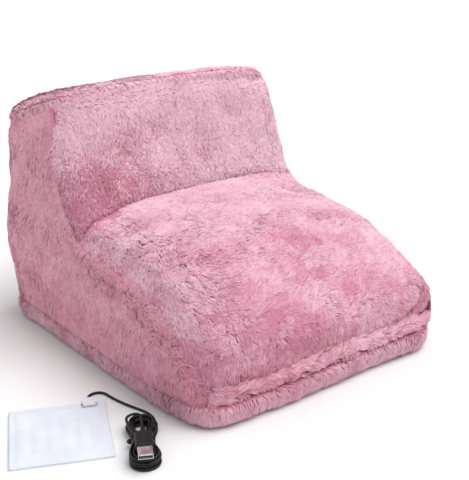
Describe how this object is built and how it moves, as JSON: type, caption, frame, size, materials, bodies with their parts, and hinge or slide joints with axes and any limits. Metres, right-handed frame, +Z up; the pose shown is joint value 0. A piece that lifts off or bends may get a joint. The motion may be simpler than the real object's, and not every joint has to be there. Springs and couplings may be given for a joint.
{
  "type": "electric foot warmer",
  "caption": "Plush boot for both feet with a crowned toe, raised collar and rim roll, its thin heating insert lying beside it on a tied USB lead.",
  "frame": {"origin": "middle of the boot's footprint, on the floor", "axes": "+Z up, the toe faces -Y, the opening is at the +Y end, the insert lies on the -X side"},
  "size_m": [0.4495, 0.3744, 0.2618],
  "materials": {
    "plush": "long soft pile, pink",
    "lining_plush": "short soft pile, pale pink",
    "wadding": "matte fibre filling",
    "foam": "matte foam",
    "sleeve_cloth": "plain cloth",
    "outsole_cloth": "dotted anti-slip cloth",
    "zip_tape": "woven tape",
    "zip_teeth": "satin",
    "zip_metal": "satin",
    "nonwoven": "bluish-white non-woven",
    "heating_wire_jacket": "satin",
    "return_lead_jacket": "satin",
    "cutout_case": "matte",
    "black_moulding": "satin",
    "cord_jacket": "satin",
    "tie_coating": "satin",
    "plug_steel": "bright nickel",
    "plug_insulator": "gloss",
    "contact_metal": "bright gold"
  },
  "bodies": {
    "boot": {"outsole": "outsole_cloth", "sole_foam": "foam", "sole_border": "plush", "front_roll": "plush", "pad_pocket": "sleeve_cloth", "insole": "lining_plush", "left_side_cover": "plush", "left_side_wadding": "wadding", "left_side_lining": "lining_plush", "right_side_cover": "plush", "right_side_wadding": "wadding", "right_side_lining": "lining_plush", "toe_cover": "plush", "toe_wadding": "wadding", "toe_lining": "lining_plush", "collar_cover": "plush", "collar_wadding": "wadding", "collar_lining": "lining_plush", "back_cover": "plush", "back_wadding": "wadding", "back_lining": "lining_plush", "rim_roll": "lining_plush", "zip_upper_tape": "zip_tape", "zip_lower_tape": "zip_tape", "zip_upper_teeth": "zip_teeth", "zip_lower_teeth": "zip_teeth", "zip_left_stop": "zip_metal", "zip_right_stop": "zip_metal", "pad_bottom_cover": "nonwoven", "pad_top_cover": "nonwoven", "heating_wire": "heating_wire_jacket", "return_lead": "return_lead_jacket", "thermal_cutout": "cutout_case", "lead_joint": "black_moulding", "supply_cord": "cord_jacket", "cord_hank": "cord_jacket", "cord_tie": "tie_coating", "plug_strain_relief": "black_moulding", "plug_overmould": "black_moulding", "plug_shell": "plug_steel", "plug_tongue": "plug_insulator", "plug_contacts": "contact_metal"},
    "zip_slider": {"zip_slider": "zip_metal"},
    "zip_pull": {"zip_pull": "zip_metal"}
  },
  "joints": [
    {"name": "zip_slide", "type": "slide", "parent": "boot", "child": "zip_slider", "axis": [1, 0, 0], "range_m": [-0.139, 0], "deforming": ["zip_upper_teeth", "zip_lower_teeth", "zip_upper_tape", "zip_lower_tape"]},
    {"name": "zip_pull_hinge", "type": "hinge", "parent": "zip_slider", "child": "zip_pull", "pos_m": [0.0695, 0.1803, 0.028], "axis": [1, 0, 0], "range_deg": [0, 120]}
  ]
}
